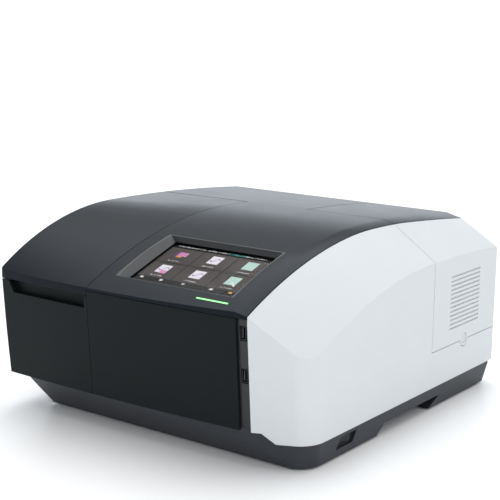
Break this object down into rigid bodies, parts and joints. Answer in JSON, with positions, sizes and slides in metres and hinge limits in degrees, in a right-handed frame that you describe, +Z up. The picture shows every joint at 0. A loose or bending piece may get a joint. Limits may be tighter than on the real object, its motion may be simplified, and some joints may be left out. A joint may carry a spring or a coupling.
{
  "type": "spectrophotometer",
  "caption": "Bench-top double-beam spectrophotometer: arched case, hinged sample lid, tilted touch screen, removable louvred lamp cover and rotating optics.",
  "frame": {"origin": "on the bench, under the centre of the body's outline", "axes": "+X to the object's right as seen from the front, +Y to its rear, +Z up"},
  "size_m": [0.45, 0.501, 0.244],
  "materials": {
    "dark_plastic": "fine moulded texture, satin",
    "port_plastic": "smooth satin",
    "white_plastic": "fine moulded texture, satin",
    "knob_plastic": "smooth satin",
    "base_plastic": "coarse moulded texture",
    "black_plastic": "matt",
    "rubber": "matt",
    "foam": "open-cell foam",
    "aluminium": "machined",
    "steel": "zinc plated",
    "sheet_metal": "powder coat",
    "brass": "machined",
    "screen_glass": "polished",
    "screen": "lit panel",
    "light_pipe": "lit green",
    "circuit_board": "solder mask",
    "quartz": "polished",
    "mirror": "front-silvered",
    "ceramic": "fired ceramic"
  },
  "bodies": {
    "instrument": {"base_tray": "base_plastic", "rubber_feet": "rubber", "chassis_plate": "aluminium", "left_cover": "white_plastic", "right_cover": "white_plastic", "roof_cover": "dark_plastic", "latch_receiver": "aluminium", "lid_seal": "foam", "hinge_brackets": "aluminium", "hinge_pins": "steel", "sample_tub": "black_plastic", "compartment_front_panel": "dark_plastic", "front_panel": "dark_plastic", "port_strip": "port_plastic", "usb_sockets": "steel", "display_bezel": "port_plastic", "touch_glass": "screen_glass", "lcd_module": "screen", "status_light": "light_pipe", "corner_plugs": "black_plastic", "cover_screws": "steel", "switch_housing": "black_plastic", "main_board": "circuit_board", "power_supply": "sheet_metal", "cell_holder": "black_plastic", "beam_windows": "quartz", "detector_housings": "black_plastic", "photodiodes": "circuit_board", "preamp_board": "circuit_board", "slit_plates": "aluminium", "mirror_mounts": "aluminium", "collimating_mirrors": "mirror", "grating_post": "aluminium", "drive_motor": "steel", "filter_motor": "steel", "source_motor": "steel", "lamp_bases": "ceramic", "deuterium_lamp": "quartz", "halogen_lamp": "quartz", "lamp_shield": "sheet_metal", "beam_mirrors": "aluminium", "rear_panel": "sheet_metal", "power_inlet": "black_plastic", "rear_ports": "black_plastic", "fan_frame": "black_plastic", "fan_guard": "steel"},
    "lid": {"compartment_lid": "dark_plastic", "lid_liner": "black_plastic", "hinge_knuckles": "aluminium"},
    "lamp_cover": {"lamp_cover_side": "white_plastic", "lamp_cover_top": "dark_plastic"},
    "knob": {"lamp_cover_knob": "knob_plastic"},
    "rocker": {"power_rocker": "black_plastic"},
    "turntable": {"grating_table": "brass", "grating": "mirror"},
    "pinion": {"drive_pinion": "steel"},
    "filter_disc": {"filter_wheel": "brass", "order_filters": "quartz"},
    "source_arm": {"source_mirror": "mirror"},
    "fan": {"fan_rotor": "black_plastic"}
  },
  "joints": [
    {"name": "lid_hinge", "type": "hinge", "parent": "instrument", "child": "lid", "pos_m": [0, 0.062, 0.234], "axis": [-1, 0, 0], "range_deg": [0, 95]},
    {"name": "lamp_cover_slide", "type": "slide", "parent": "instrument", "child": "lamp_cover", "axis": [1, 0, 0], "range_m": [0, 0.12]},
    {"name": "knob_turn", "type": "hinge", "parent": "lamp_cover", "child": "knob", "pos_m": [0.225, 0.161, 0.08], "axis": [1, 0, 0], "range_deg": [0, 90]},
    {"name": "power_switch", "type": "hinge", "parent": "instrument", "child": "rocker", "pos_m": [0.2144, -0.124, 0.017], "axis": [0, 0, 1], "range_deg": [0, 14]},
    {"name": "grating_turn", "type": "hinge", "parent": "instrument", "child": "turntable", "pos_m": [0.06, -0.08, 0.088], "axis": [0, 0, 1], "range_deg": [0, 40]},
    {"name": "pinion_turn", "type": "hinge", "parent": "instrument", "child": "pinion", "pos_m": [0.10815, -0.08, 0.088], "axis": [0, 0, 1], "range_deg": [-120, 0]},
    {"name": "filter_wheel_turn", "type": "hinge", "parent": "instrument", "child": "filter_disc", "pos_m": [0.144, 0.084, 0.11], "axis": [0, 1, 0], "continuous": true},
    {"name": "source_mirror_turn", "type": "hinge", "parent": "instrument", "child": "source_arm", "pos_m": [0.128, 0.15, 0.11], "axis": [0, 0, 1], "range_deg": [-90, 0]},
    {"name": "fan_spin", "type": "hinge", "parent": "instrument", "child": "fan", "pos_m": [0.15, 0.232, 0.118], "axis": [0, 1, 0], "continuous": true}
  ],
  "couplings": [
    {"joint": "pinion_turn", "follows": "grating_turn", "ratio": -3}
  ]
}
